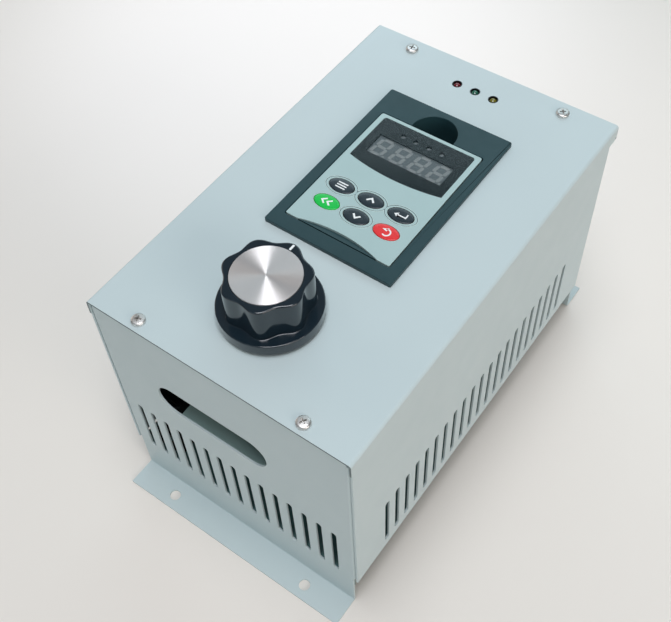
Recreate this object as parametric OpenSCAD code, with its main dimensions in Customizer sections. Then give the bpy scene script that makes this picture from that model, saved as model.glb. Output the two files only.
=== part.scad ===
// Bench-top induction heater: a power unit in a vented sheet-metal case.
// The case is two bent end panels with mounting feet, a floor pan and a
// U-shaped top cover. On the cover sit a power knob, a clip-in keypad with a
// four-digit display, and three status lights. Inside are a heat sink, the
// power electronics and a fan.
// Frame: X to the right, Y to the rear, Z up, origin on the mounting plane
// under the middle of the case. All lengths in millimetres.

/* [Case] */
// Outer width of the top cover
cover_w = 170; // [169:0.5:172]
// Length of the top cover, front to rear
cover_l = 270; // [269:0.5:271]
// Height of the cover's top face above the mounting plane
top_z = 174; // [173:0.5:178]
// Thickness of the painted sheet
sheet = 1.2; // [1.0:0.1:1.4]
// Distance from the middle to the outer face of each end panel
wall_y = 132.9; // [132.5:0.1:133.1]
// Depth of each mounting foot, in front of its end panel
foot_d = 18.4; // [17:0.2:20]
// Height of the lower edge of the cover's sides
side_z = 31.5; // [30:0.5:31.5]
// Height of the rear ears, where the cover's sides reach full length
ear_h = 10.5; // [8:0.5:14]

/* [Mounting holes] */
// Distance between mounting holes across the case
hole_dx = 104; // [90:1:120]
// Distance between mounting holes along the case
hole_dy = 286; // [284:1:288]
// Diameter of the mounting holes
hole_d = 7; // [5:0.1:8]

/* [Vents] */
// Number of slots in the front panel
front_slots = 15; // [5:1:15]
// Pitch of the front slots
front_pitch = 10.1; // [8:0.1:10.3]
// Number of slots in each side
side_slots = 21; // [5:1:21]
// Pitch of the side slots
side_pitch = 10; // [8:0.1:10]
// Width of every slot
slot_w = 4; // [2:0.1:4]
// Height of every slot
slot_h = 46; // [30:1:46]

/* [Cable slot] */
// Width of the cable slot in the front panel
cable_w = 76; // [50:1:80]
// Height of the cable slot
cable_h = 23; // [16:1:24]
// Position of its middle across the front panel
cable_x = -9.8; // [-15:0.1:5]
// Height of its middle
cable_z = 116.4; // [112:0.2:122]

/* [Knob] */
// Position of the knob along the case
knob_y = -84.2; // [-88:0.1:-80]
// Radius of the knob's skirt
skirt_r = 28.2; // [26:0.1:30]
// Mean radius of the fluted grip
grip_r = 22.7; // [21:0.1:24]
// Half the depth of the flutes
flute = 1.35; // [0.5:0.05:2]
// Number of flutes
flutes = 7; // [5:1:9]
// Height of the knob's top above the cover
knob_h = 31; // [29:0.5:33]
// Radius of the aluminium disc in the knob's top
disc_r = 18.5; // [16:0.1:19]

/* [Keypad] */
// Half width of the bezel
bezel_hw = 41.7; // [41.5:0.1:44]
// Half width of the keypad
pad_hw = 34.2; // [34:0.1:34.4]
// Rear edge of the keypad
pad_y1 = 67.2; // [67:0.1:67.3]
// Front edge of the keypad
pad_y0 = -27.4; // [-27.5:0.1:-27.2]
// Gap around the keypad in its bezel
pad_gap = 0.6; // [0.5:0.05:0.6]
// Pitch of the keys across the keypad
key_dx = 19.8; // [19.6:0.1:20]
// Height of the upper key row
key_y1 = 5.4; // [5:0.1:5.6]
// Height of the lower key row
key_y0 = -8.9; // [-9.2:0.1:-8.8]
// Travel of a key
key_travel = 0.5; // [0.2:0.1:0.5]

/* [Status lights] */
// Position of the row of lights along the case
light_y = 115.8; // [114:0.1:117]
// Pitch of the lights
light_dx = 12.6; // [11:0.1:14]

/* [Fan] */
// Height of the fan's axis
fan_z = 76; // [75.5:0.5:77]
// Width of the square fan frame
fan_w = 80; // [80:1:81]
// Number of fan blades
fan_blades = 7; // [5:1:7]

/* [Hidden] */

$fn = 64;
e = 0.01;

hw = cover_w / 2;            // half width of the cover
inz = top_z - sheet;         // underside of the cover's top
cy0 = -133.4;                // front edge of the cover
cy1 = cy0 + cover_l;         // rear edge of the cover
bo = 1.7;                    // outer radius of the panels' bends
flat = hw - 3.2;             // half width of the flat part of a panel
wi = wall_y - sheet;         // inner face of an end panel
screw_x = 53;                // cover screws
screw_y = 127.3;
pan_z = side_z + sheet;      // top of the floor pan
sink_z = 78.7;               // top of the heat sink
pcb_z = 92;                  // underside of the power board
pcb_t = 1.6;
on_pcb = pcb_z + pcb_t;      // what stands on the power board starts here
paint = [0.74, 0.79, 0.80];
slate = [0.27, 0.34, 0.38];
zinc = [0.78, 0.79, 0.80];

// ---------- helpers ----------
module block(x0, x1, y0, y1, z0, z1)
  translate([x0, y0, z0]) cube([x1 - x0, y1 - y0, z1 - z0]);
module rod(x, y, z0, z1, r) translate([x, y, z0]) cylinder(r = r, h = z1 - z0);
module rect(x0, x1, y0, y1) translate([x0, y0]) square([x1 - x0, y1 - y0]);
// rectangle with round corners of true radius
module rrect(x0, x1, y0, y1, r) {
  rect(x0 + r, x1 - r, y0, y1);
  rect(x0, x1, y0 + r, y1 - r);
  for (x = [x0 + r, x1 - r], y = [y0 + r, y1 - r]) translate([x, y]) circle(r);
}
// upright or lying slot with round ends, centred
module slot2d(w, h) {
  d = min(w, h);
  square([w - (w < h ? 0 : d), h - (w < h ? d : 0)], center = true);
  for (s = [-1, 1])
    translate(w < h ? [0, s * (h - d) / 2] : [s * (w - d) / 2, 0]) circle(d / 2, $fn = 32);
}
// quarter of a ring: one bend of the sheet, sx and sy choose the quadrant
module bend(ri, ro, sx, sy) intersection() {
  difference() { circle(ro, $fn = 32); circle(ri, $fn = 32); }
  translate([sx > 0 ? 0 : -ro - 1, sy > 0 ? 0 : -ro - 1]) square(ro + 1);
}
// extrusions along X and along -Y, of outlines drawn in (Y,Z) and (X,Z)
module along_x(x0, x1) translate([x0, 0, 0]) rotate([90, 0, 90]) linear_extrude(x1 - x0) children();
module along_y(y0, y1) translate([0, y1, 0]) rotate([90, 0, 0]) linear_extrude(y1 - y0) children();
function oval(rx, ry, n = 48) = [for (i = [0:n - 1]) [rx * cos(360 * i / n), ry * sin(360 * i / n)]];
function lobed(r, a, k, n = 140) = [for (i = [0:n - 1])
  let (t = 360 * i / n, q = r + a * cos(k * (t - 90))) [q * cos(t), q * sin(t)]];
// pan-head screw pointing down, head resting at z with the thread below it
module pan_screw(x, y, z, rt, rh, hh, len, up = 1) translate([x, y, z]) rotate([up > 0 ? 0 : 180, 0, 0]) {
  difference() {
    rotate_extrude() { rect(0, rh - 0.8, 0, hh); rect(0, rh, 0, hh - 0.8);
      translate([rh - 0.8, hh - 0.8]) circle(0.8, $fn = 24); }
    for (a = [0, 90]) rotate(a + 20) translate([-rh * 0.55, -0.45, hh - 1.1]) cube([rh * 1.1, 0.9, 2]);
  }
  translate([0, 0, -len]) cylinder(r = rt, h = len + e);
}
// flat ribbon of leads along a bent path given in a plane
module ribbon2d(p, t) for (i = [0:len(p) - 2]) let (d = p[i + 1] - p[i], l = norm(d)) {
  translate(p[i]) rotate(atan2(d[1], d[0])) translate([0, -t / 2]) square([l, t]);
  if (i > 0) translate(p[i]) circle(t / 2, $fn = 16);
}

// ---------- case ----------
// one end panel, drawn as the front one: foot, wall, top lip and side returns
module end_panel() {
  difference() {
    union() {
      along_x(-flat, flat) {
        rect(-wall_y - foot_d, -wall_y - 1, 0, sheet);
        translate([-wall_y - 1, sheet + 1]) bend(1, 1 + sheet, 1, -1);
        rect(-wall_y, -wi, sheet + 1, inz - bo);
        translate([-wall_y + bo, inz - bo]) bend(bo - sheet, bo, -1, 1);
        rect(-wall_y + bo, -wall_y + 12.4, inz - sheet, inz);
      }
      for (s = [0, 1]) mirror([s, 0, 0]) translate([0, 0, pan_z + 0.8])
        linear_extrude(inz - 2.8 - pan_z - 0.8) {
          rect(flat - 1, flat, -wall_y, -wi);
          translate([flat, -wall_y + bo]) bend(bo - sheet, bo, 1, -1);
          rect(flat + bo - sheet, flat + bo, -wall_y + bo, -wall_y + 13);
        }
    }
    for (s = [-1, 1]) {
      rod(s * hole_dx / 2, -hole_dy / 2, -1, sheet + 1, hole_d / 2);
      rod(s * screw_x, -screw_y, inz - 3, inz + 1, 2.7);
      block(s > 0 ? flat - 1 : -flat - 1, s > 0 ? flat + 1 : -flat + 1,
            -wall_y + 3, -100, inz - 2, inz + 1);
    }
  }
}
module front_panel() color(paint) difference() {
  end_panel();
  along_y(-wall_y - 2, -wall_y + 2.5) {
    for (i = [0:front_slots - 1])
      translate([(i - (front_slots - 1) / 2) * front_pitch - 0.8, 56.3]) slot2d(slot_w, slot_h + 2.4);
    translate([cable_x, cable_z]) slot2d(cable_w, cable_h);
  }
}
// shelf behind the cable slot, spot-welded to the front panel; the cables rest on it
module cable_shelf() color(paint) {
  zs = cable_z - cable_h / 2 - 7.4;
  along_x(-38, cable_x + cable_w / 2 + 4) {
    rect(-wi + 0.02, -wi + 0.02 + sheet, zs - 11, zs - sheet - 1);
    translate([-wi + 0.02 + sheet + 1, zs - sheet - 1]) bend(1, sheet + 1, -1, 1);
    rect(-wi + 0.02 + sheet + 1, -wi + 17, zs - sheet, zs);
  }
}
// mains filter in the front left corner of the floor
module line_filter() color([0.10, 0.10, 0.11]) {
  translate([0, 0, pan_z]) linear_extrude(2) difference() {
    rect(-78, -52, -128.5, -90);
    for (y = [-94.5, -124.5]) translate([-65, y]) circle(2.2);
  }
  translate([0, 0, pan_z + 2 - e]) linear_extrude(43) polygon([[-77, -119], [-75, -121], [-55, -121], [-53, -119],
    [-53, -100], [-55, -98], [-75, -98], [-77, -100]]);
  translate([0, 0, pan_z + 45 - 2 * e]) linear_extrude(1.5) rect(-75.5, -54.5, -119.5, -99.5);
}
module rear_panel() color(paint) difference() {
  mirror([0, 1, 0]) end_panel();
  translate([0, wall_y + 2, fan_z]) rotate([90, 0, 0]) {
    cylinder(r = 38, h = 5);
    for (a = [45:90:315]) rotate(a) translate([71.5 / sqrt(2), 0, 0]) cylinder(r = 2.3, h = 5);
  }
}
module floor_pan() color(paint) difference() {
  union() {
    block(-flat + 0.2, flat - 0.2, -wi + bo, wi - bo, side_z, pan_z);
    // side lips turned up inside the cover
    along_y(-118, 118) for (s = [-1, 1]) {
      translate([s * (flat - 0.2), side_z + bo]) bend(bo - sheet, bo, s, -1);
      translate([s * (flat - 0.2 + bo - sheet / 2), side_z + bo + 2.4]) square([sheet, 4.8], center = true);
    }
    // end lips turned down behind the end panels
    along_x(-flat + 0.2, flat - 0.2) for (s = [-1, 1]) {
      translate([s * (wi - bo), pan_z - bo]) bend(bo - sheet, bo, s, 1);
      translate([s * (wi - sheet / 2), (20 + pan_z - bo) / 2]) square([sheet, pan_z - bo - 20], center = true);
    }
  }
  for (s = [-1, 1], y = [-40, 88]) rod(s * 60, y, side_z - 1, pan_z + 1, 2.2);
  rod(60, -105, side_z - 1, pan_z + 1, 2.6);
}
module top_cover() color(paint) difference() {
  along_y(cy0, cy1) {
    rect(-hw + 2, hw - 2, inz, top_z);
    for (s = [-1, 1]) {
      translate([s * (hw - 2), top_z - 2]) bend(2 - sheet, 2, s, 1);
      translate([s * (hw - sheet / 2), (side_z + top_z - 2) / 2]) square([sheet, top_z - 2 - side_z], center = true);
    }
  }
  // below the ears at the four corners the sides stop short of both ends
  for (s = [-1, 1]) translate([s * hw - 5, 0, 0]) along_x(0, 10) {
    rect(128.6, cy1 + 5, side_z - 5, top_z - ear_h);
    polygon([[cy1 - 2.5, top_z - ear_h - 0.1], [cy1 + 1, top_z - ear_h - 0.1], [cy1 + 1, top_z - ear_h + 3.5]]);
    rect(cy0 - 5, -132.8, side_z - 5, top_z - ear_h);
  }
  for (s = [-1, 1]) translate([s * hw - 2.5, 0, 0]) along_x(0, 5)
    for (i = [0:side_slots - 1]) translate([-3 + (i - (side_slots - 1) / 2) * side_pitch, 62]) slot2d(slot_w, slot_h + 1);
  for (x = [-1, 1], y = [-1, 1]) rod(x * screw_x, y * screw_y, inz - 1, top_z + 1, 2.25);
  rod(0, knob_y, inz - 1, top_z + 1, 4.6);
  for (i = [-1:1]) rod(i * light_dx, light_y, inz - 1, top_z + 1, 3.2);
  translate([0, 0, inz - 1]) linear_extrude(sheet + 2) {
    rect(-37, 37, -30.3, 70.1);
    translate([0, 69.3]) circle(16.2);
  }
}
module cover_screws() color(zinc) for (x = [-1, 1], y = [-1, 1])
  pan_screw(x * screw_x, y * screw_y, top_z, 1.98, 4, 2.4, 7);
module cover_nuts() color(zinc) for (x = [-1, 1], y = [-1, 1]) difference() {
  union() {
    rod(x * screw_x, y * screw_y, inz - sheet - 3, inz - sheet, 3.5);
    rod(x * screw_x, y * screw_y, inz - sheet - 1, inz - 0.1, 2.68);
  }
  rod(x * screw_x, y * screw_y, inz - 6, inz + 1, 2);
}

// ---------- cooling ----------
module heat_sink() color([0.75, 0.76, 0.77]) difference() {
  along_y(-50, 98) {
    rect(-63, 63, sink_z - 8, sink_z);
    for (s = [-1, 1]) translate([s * 60, (pan_z + sink_z - 7.9) / 2]) square([6, sink_z - 7.9 - pan_z], center = true);
    for (i = [0:11]) translate([-49.5 + i * 9, (36 + sink_z - 7.9) / 2]) square([2, sink_z - 7.9 - 36], center = true);
  }
  for (s = [-1, 1], y = [-40, 88]) rod(s * 60, y, pan_z - 1, pan_z + 14, 2.02);
  for (s = [-1, 1], y = [-46, 23, 92]) rod(s * 58, y, sink_z - 6, sink_z + 1, 1.52);
  rod(-38, -20, sink_z - 7, sink_z + 1, 1.5);
  for (y = [38.4, 70.4]) rod(44, y, sink_z - 7, sink_z + 1, 1.5);
}
module heat_sink_screws() color(zinc) for (s = [-1, 1], y = [-40, 88])
  pan_screw(s * 60, y, side_z, 1.98, 4, 2.4, 13, -1);
module fan_housing() color([0.12, 0.12, 0.13]) difference() {
  y0 = wi - 25;
  union() {
    difference() {
      along_y(y0, wi) translate([0, fan_z]) rrect(-fan_w / 2, fan_w / 2, -fan_w / 2, fan_w / 2, 4);
      translate([0, wi + 1, fan_z]) rotate([90, 0, 0]) cylinder(r = 38.5, h = 27);
      // the flanges stand clear of the duct's wall at the corners
      for (a = [0:90:270]) translate([0, 0, fan_z]) rotate([0, a, 0]) translate([34, 0, 34])
        translate([1.5, wi - 12.5, 1.5]) cube([12, 17, 12], center = true);
    }
    // motor plate, bearing tube and the four struts that hold them
    translate([0, y0 + 3, fan_z]) rotate([90, 0, 0]) cylinder(r = 16, h = 3);
    translate([0, y0 + 14, fan_z]) rotate([90, 0, 0]) cylinder(r = 4, h = 12);
    for (a = [45:90:315]) translate([0, 0, fan_z]) rotate([0, a, 0]) translate([15, y0, -1.5]) cube([25, 3, 3]);
  }
  translate([0, y0 + 15, fan_z]) rotate([90, 0, 0]) cylinder(r = 1.55, h = 13.5);
  for (a = [45:90:315]) translate([0, 0, fan_z]) rotate([0, a, 0]) translate([71.5 / sqrt(2), wi + 1, 0])
    rotate([90, 0, 0]) cylinder(r = 2.15, h = 30);
}
module fan_rotor() color([0.16, 0.16, 0.17]) {
  y0 = wi - 25;
  translate([0, 0, fan_z]) {
    rotate([90, 0, 0]) translate([0, 0, -y0 - 22]) difference() {
      cylinder(r = 17.5, h = 17.5);
      translate([0, 0, 2]) cylinder(r = 16, h = 20);
    }
    translate([0, y0 + 21, 0]) rotate([90, 0, 0]) cylinder(r = 1.5, h = 18.5);
    for (i = [0:fan_blades - 1]) rotate([0, i * 360 / fan_blades, 0]) intersection() {
      translate([16.8, y0 + 13.2, 0]) rotate([38, 0, 0]) cube([40, 1.4, 24], center = true);
      translate([0, y0 + 22, 0]) rotate([90, 0, 0]) difference() {
        cylinder(r = 37, h = 17.5);
        translate([0, 0, -1]) cylinder(r = 17, h = 20);
      }
      translate([10, y0, -20]) cube([40, 30, 40]);
    }
  }
}
module fan_guard() color(zinc) translate([0, wall_y, fan_z]) {
  // rings of wire on two cross wires, with four flat eyelets
  for (r = [10, 18, 26, 34]) translate([0, 2.6, 0]) rotate([90, 0, 0]) rotate_extrude() translate([r, 0]) circle(0.8, $fn = 16);
  for (a = [45, 135]) rotate([0, a, 0]) translate([0, 1.2, 0]) rotate([0, 90, 0]) cylinder(r = 0.8, h = 94, center = true, $fn = 16);
  for (a = [45:90:315]) rotate([0, a, 0]) translate([71.5 / sqrt(2), 2, 0]) rotate([90, 0, 0]) difference() {
    cylinder(r = 4.6, h = 2);
    translate([0, 0, -1]) cylinder(r = 2.4, h = 4);
  }
}
module fan_screws() color(zinc) for (a = [45:90:315]) translate([0, wall_y + 2, fan_z]) rotate([0, a, 0])
  translate([71.5 / sqrt(2), 0, 0]) rotate([-90, 0, 0]) pan_screw(0, 0, 0, 2.1, 4.2, 2.4, 13);

// ---------- power electronics ----------
module bridge_rectifier() color([0.13, 0.13, 0.14]) difference() {
  union() {
    translate([-38, -20, sink_z]) linear_extrude(10) rrect(-14.3, 14.3, -14.3, 14.3, 1);
    for (x = [-1, 1], y = [-1, 1]) rod(-38 + x * 8.9, -20 + y * 8.9, sink_z + 9, on_pcb - 0.1, 0.55);
  }
  rod(-38, -20, sink_z - 1, sink_z + 11, 1.6);
}
module transistor(x, y) color([0.13, 0.13, 0.14]) difference() {
  union() {
    block(x - 7.95, x + 7.95, y - 10.4, y + 10.4, sink_z, sink_z + 5);
    for (i = [-1:1]) {
      block(x + i * 5.45 - 0.6, x + i * 5.45 + 0.6, y - 14.6, y - 10, sink_z + 2.2, sink_z + 2.8);
      block(x + i * 5.45 - 0.6, x + i * 5.45 + 0.6, y - 14.6, y - 14, sink_z + 2.2, on_pcb - 0.1);
    }
  }
  rod(x, y + 4.4, sink_z - 1, sink_z + 6, 1.6);
}
module high_side_transistor() transistor(44, 34);
module low_side_transistor() transistor(44, 66);
module device_screws() color(zinc) {
  pan_screw(-38, -20, sink_z + 10, 1.48, 2.8, 2, 16);
  for (y = [38.4, 70.4]) pan_screw(44, y, sink_z + 5, 1.48, 2.8, 2, 11);
}
module power_board() color([0.10, 0.38, 0.22]) difference() {
  block(-64, 64, -52, 98, pcb_z, on_pcb);
  for (s = [-1, 1], y = [-46, 23, 92]) rod(s * 58, y, pcb_z - 1, on_pcb + 1, 1.6);
  for (x = [-1, 1], y = [-1, 1]) rod(-38 + x * 8.9, -20 + y * 8.9, pcb_z - 1, on_pcb + 1, 0.8);
  for (y = [34, 66], i = [-1:1]) rod(44 + i * 5.45, y - 14.3, pcb_z - 1, on_pcb + 1, 1);
}
module board_standoffs() color([0.80, 0.68, 0.35]) for (s = [-1, 1], y = [-46, 23, 92]) difference() {
  union() {
    translate([s * 58, y, sink_z]) cylinder(r = 3.2, h = pcb_z - sink_z, $fn = 6);
    rod(s * 58, y, sink_z - 5, sink_z + e, 1.5);
  }
  rod(s * 58, y, pcb_z - 8, pcb_z + 1, 1.5);
}
module board_screws() color(zinc) for (s = [-1, 1], y = [-46, 23, 92])
  pan_screw(s * 58, y, on_pcb, 1.48, 2.8, 2, 8);
module filter_capacitor() color([0.85, 0.85, 0.80]) block(15, 57, -24, 4, on_pcb, on_pcb + 37);
module resonant_capacitors() color([0.20, 0.28, 0.50])
  for (y = [12, 44]) block(12, 54, y, y + 24, on_pcb, on_pcb + 38);
// two ferrite halves around a wound centre leg
module choke_core() color([0.22, 0.22, 0.23]) translate([-34, -4, on_pcb]) difference() {
  block(-21, 21, -10, 10, 0, 40);
  for (s = [-1, 1]) block(s > 0 ? 7 : -15, s > 0 ? 15 : -7, -11, 11, 6, 34);
}
module choke_winding() color([0.72, 0.42, 0.20]) translate([-34, -4, on_pcb + 7]) difference() {
  linear_extrude(26) rrect(-14.2, 14.2, -17, 17, 5);
  block(-7.2, 7.2, -10.2, 10.2, -1, 27);
}
module current_transformer() color([0.10, 0.25, 0.55]) translate([-30, 34, on_pcb + 13]) rotate([90, 0, 0]) difference() {
  cylinder(r = 13, h = 12);
  translate([0, 0, -1]) cylinder(r = 5, h = 14);
}
module supply_transformer() color([0.85, 0.75, 0.35]) difference() {
  block(-44, -20, 52, 72, on_pcb, on_pcb + 20);
  for (z = [0, 14]) block(-45, -19, 51, 55, on_pcb + z - 1, on_pcb + z + 7);
}
module soft_start_relay() color([0.10, 0.25, 0.60]) block(-58, -39, -38.5, -23, on_pcb, on_pcb + 15.5);
module fuse_holder() color([0.15, 0.15, 0.15]) {
  block(-36, -12, -50, -39, on_pcb, on_pcb + 8);
  along_x_rod(-35, -13, -44.5, on_pcb + 9, 4);
}
module along_x_rod(x0, x1, y, z, r) translate([x0, y, z]) rotate([0, 90, 0]) cylinder(r = r, h = x1 - x0);
module terminal_block() color([0.12, 0.12, 0.12]) difference() {
  union() {
    block(2, 54, -51, -29, on_pcb, on_pcb + 10);
    for (i = [0:5]) block(2 + i * 10, 4 + i * 10, -51, -29, on_pcb, on_pcb + 18);
    block(2, 54, -41.5, -38.5, on_pcb, on_pcb + 14);
  }
  for (i = [0:4], y = [-46.2, -33.8]) rod(8 + i * 10, y, on_pcb + 3, on_pcb + 11, 2);
}
module terminal_screws() color(zinc) for (i = [0:4], y = [-46.2, -33.8])
  pan_screw(8 + i * 10, y, on_pcb + 10, 1.98, 3.6, 2.4, 6);
module board_headers() color([0.92, 0.92, 0.88]) {
  block(-8, 0, -48, -42, on_pcb, on_pcb + 7);
  block(-38, -30, 83, 89, on_pcb, on_pcb + 7);
  block(-5, 5, 87, 93, on_pcb, on_pcb + 7);
}
// upright board with its processor and the socket for the keypad cable
module control_board() color([0.10, 0.38, 0.22]) {
  block(-63.2, -61.6, -12, 62, on_pcb, 140);
  block(-61.7, -60, -4, 12, 106, 122);
  block(-61.7, -52, 30, 49, 128, 136);
}
module inner_leads() color([0.20, 0.20, 0.22]) {
  // knob potentiometer to the power board
  translate([-6.5, 0, 0]) along_x(0, 5) ribbon2d([[knob_y + 12.1, top_z - 9.75], [-64, top_z - 9.75], [-45, 145], [-45, on_pcb + 7]], 1.3);
  // fan to the power board
  translate([-35.5, 0, 0]) along_x(0, 3) ribbon2d([[wi - 25, 110], [86, 110], [86, on_pcb + 7]], 1.3);
  // status lights to the power board
  translate([-3.8, 0, 0]) along_x(0, 7.6) ribbon2d([[light_y, 155.9], [light_y, 150], [90, 124], [90, on_pcb + 7]], 1.3);
}
module keypad_cable() color([0.55, 0.55, 0.56]) along_y(33.5, 45.5)
  ribbon2d([[0, 149.5], [0, 145], [-44, 145], [-48, 141], [-48, 132], [-52, 132]], 1.0);
module earth_stud() color([0.80, 0.68, 0.35]) {
  pan_screw(60, -105, side_z, 2.48, 4.6, 2.6, 18, -1);
  difference() {
    translate([60, -105, pan_z]) cylinder(r = 4.6, h = 4, $fn = 6);
    rod(60, -105, pan_z - 1, pan_z + 5, 2.5);
  }
}

// ---------- keypad ----------
notch_r = 85.7;              // radius of the keypad's hollow front edge
notch_y = -23.2 - notch_r;
thumb_y = 69.3;              // middle of the thumb recess
thumb_r = 14;
bz = top_z + 2.8;            // top of the bezel
pz = top_z + 1;              // seam between keypad case and face
fz = top_z + 3;              // top of the keypad's face
board_z = top_z - 7.9;       // underside of the keypad's board
module pad2d(g) rrect(-pad_hw - g, pad_hw + g, pad_y0 - g, pad_y1 + g, 1.5);
// the face and the hollow behind it have a hollow front edge
module plate2d(g) difference() {
  pad2d(g);
  translate([0, notch_y]) circle(notch_r - g, $fn = 180);
}
module pocket2d() { pad2d(pad_gap); translate([0, thumb_y]) circle(thumb_r); }
module shell2d() { rect(-36.4, 36.4, -29.6, 69.4); translate([0, thumb_y]) circle(15.6); }
module window2d(g) intersection() {
  rrect(-30.8 - g, 30.8 + g, 10, 64.9 + g, 1.8);
  translate([0, 158.8]) circle(133.6 + g, $fn = 240);
}
module keypad_bezel() color(slate) difference() {
  union() {
    translate([0, 0, top_z]) linear_extrude(bz - top_z) rrect(-bezel_hw, bezel_hw, -37.3, 87.8, 1.2);
    translate([0, 0, top_z - 18]) linear_extrude(18 + e) shell2d();
    // snap hooks under the cover
    for (s = [-1, 1], y = [-15, 40]) block(s > 0 ? 36 : -38.4, s > 0 ? 38.4 : -36, y, y + 12, inz - 2.6, inz - 0.1);
  }
  translate([0, 0, top_z - 16.4]) linear_extrude(30) pocket2d();
  block(-12, 12, 33.2, 45.8, top_z - 20, top_z);
}
module keypad_socket() color([0.15, 0.15, 0.16]) difference() {
  block(-12, 12, 33.2, 45.8, top_z - 24.5, top_z - 16.4);
  block(-9.4, 9.4, 35.6, 43.4, top_z - 22.5, top_z);
}
module keypad_case() color(slate) difference() {
  union() {
    translate([0, 0, top_z - 16.1]) linear_extrude(pz - top_z + 16.1) pad2d(0);
    // grip in front of the face
    translate([0, 0, pz - e]) linear_extrude(fz - 0.4 - pz + e) difference() { pad2d(0); plate2d(0.25); }
  }
  difference() {
    translate([0, 0, top_z - 14.5]) linear_extrude(14.5 + pz - top_z + 5) plate2d(-1.6);
    for (x = [-28.5, 28.5], y = [-15, 60]) rod(x, y, top_z - 16, board_z, 2.6);
  }
  block(-10.5, 10.5, 34.5, 44.5, top_z - 20, top_z - 10);
}
module ring2d(rx, ry, w) difference() { polygon(oval(rx, ry)); polygon(oval(rx - w, ry - w)); }
module keypad_face() color([0.67, 0.76, 0.74]) {
  difference() {
    translate([0, 0, pz]) linear_extrude(fz - pz) plate2d(0);
    translate([0, 0, fz - 1]) linear_extrude(3) window2d(0.1);
    translate([0, 0, pz - 1]) linear_extrude(5) window2d(-1.5);
    for (x = [-1:1], y = [key_y0, key_y1]) translate([x * key_dx, y, pz - 1]) linear_extrude(6) polygon(oval(8.3, 5.2));
  }
  // raised rims round the four dark keys
  translate([0, 0, fz - e]) linear_extrude(0.25 + e) {
    for (x = [-1:1]) translate([x * key_dx, key_y1]) ring2d(9.7, 6.6, 0.5);
    translate([0, key_y0]) ring2d(9.7, 6.6, 0.5);
  }
}
module display_window() color([0.18, 0.25, 0.27]) translate([0, 0, fz - 1]) linear_extrude(0.95) window2d(0);
module digit_display() color([0.55, 0.60, 0.60]) block(-25.15, 25.15, 34.5, 53.5, board_z + pcb_t, fz - 1.3);
module keypad_board() color([0.10, 0.38, 0.22]) block(-32.2, 32.2, -20.4, 65.2, board_z, board_z + pcb_t);
module keypad_plug() color([0.15, 0.15, 0.16]) block(-9, 9, 36, 43, top_z - 21.5, board_z);
module tact_switches() color([0.14, 0.14, 0.15]) for (x = [-1:1], y = [key_y0, key_y1]) difference() {
  block(x * key_dx - 3.1, x * key_dx + 3.1, y - 3.1, y + 3.1, board_z + pcb_t, board_z + pcb_t + 3.5);
  rod(x * key_dx, y, board_z + pcb_t + 2.3, board_z + pcb_t + 4, 2.3);
}
module keypad_leds() color([0.75, 0.78, 0.78]) for (i = [-1.5:1.5]) translate([i * 8.8, 57.4, board_z + pcb_t]) {
  cylinder(r = 1.9, h = 1);
  cylinder(r = 1.5, h = 6.4);
  translate([0, 0, 6.4]) intersection() { sphere(1.5); translate([-2, -2, -0.1]) cube([4, 4, 4]); }
}
module key(x, y, c) color(c) translate([x, y, 0]) {
  translate([0, 0, pz - 0.1]) linear_extrude(fz + 0.5 - pz + 0.1) polygon(oval(8, 4.9));
  translate([0, 0, pz - 1.3]) linear_extrude(1.2 + e) polygon(oval(9, 5.9));
  rod(0, 0, board_z + pcb_t + 2.9, pz - 1.3 + e, 2);
}
dark_key = [0.15, 0.20, 0.22];
module key_menu() key(-key_dx, key_y1, dark_key);
module key_up() key(0, key_y1, dark_key);
module key_enter() key(key_dx, key_y1, dark_key);
module key_shift() key(-key_dx, key_y0, [0.05, 0.75, 0.35]);
module key_down() key(0, key_y0, dark_key);
module key_reset() key(key_dx, key_y0, [0.85, 0.22, 0.22]);

// ---------- knob and potentiometer ----------
kz = top_z + 2;              // underside of the knob
kt = top_z + knob_h;         // top of the knob
module knob_body() color([0.07, 0.09, 0.11]) translate([0, knob_y, 0]) difference() {
  union() {
    translate([0, 0, kz]) rotate_extrude($fn = 120)
      polygon([[0, 0], [skirt_r - 0.5, 0], [skirt_r, 0.5], [skirt_r, 6.6], [skirt_r - 0.4, 7], [0, 7]]);
    translate([0, 0, kz + 6]) linear_extrude(kt - 1 - kz - 6) polygon(lobed(grip_r, flute, flutes));
    translate([0, 0, kt - 1 - e]) linear_extrude(0.8 + e) polygon(lobed(grip_r - 0.7, flute, flutes));
  }
  rod(0, 0, kz - 1, kz + 8.5, 11);
  rod(0, 0, kz, kt - 6, 3.03);
  translate([0, 0, kt - 1]) cylinder(r = disc_r + 0.1, h = 2);
  // groove of the pointer, and the set-screw hole under it
  block(-0.7, 0.7, disc_r + 0.6, grip_r + 4, kt - 0.6, kt + 1);
  translate([0, 2, kz + 14]) rotate([-90, 0, 0]) cylinder(r = 2, h = 30);
}
module knob_disc() color([0.78, 0.78, 0.78]) rod(0, knob_y, kt - 1, kt, disc_r);
module pot_shaft() color([0.72, 0.73, 0.74]) {
  rod(0, knob_y, top_z - 11, kt - 7, 3);
  // set screw that holds the knob on the shaft
  translate([0, knob_y + 3.1, kz + 14]) rotate([-90, 0, 0]) cylinder(r = 1.98, h = 8);
}
module pot_body() color([0.30, 0.30, 0.32]) difference() {
  union() {
    rod(0, knob_y, top_z - 12.5, inz, 12);
    rod(0, knob_y, inz - e, top_z + 7, 4.5);
    for (i = [-1:1]) block(-4 + i * 2 - 0.5, -4 + i * 2 + 0.5, knob_y + 9, knob_y + 13.5, top_z - 11, top_z - 10.4);
  }
  rod(0, knob_y, top_z - 11.2, top_z + 8, 3.05);
}
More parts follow.
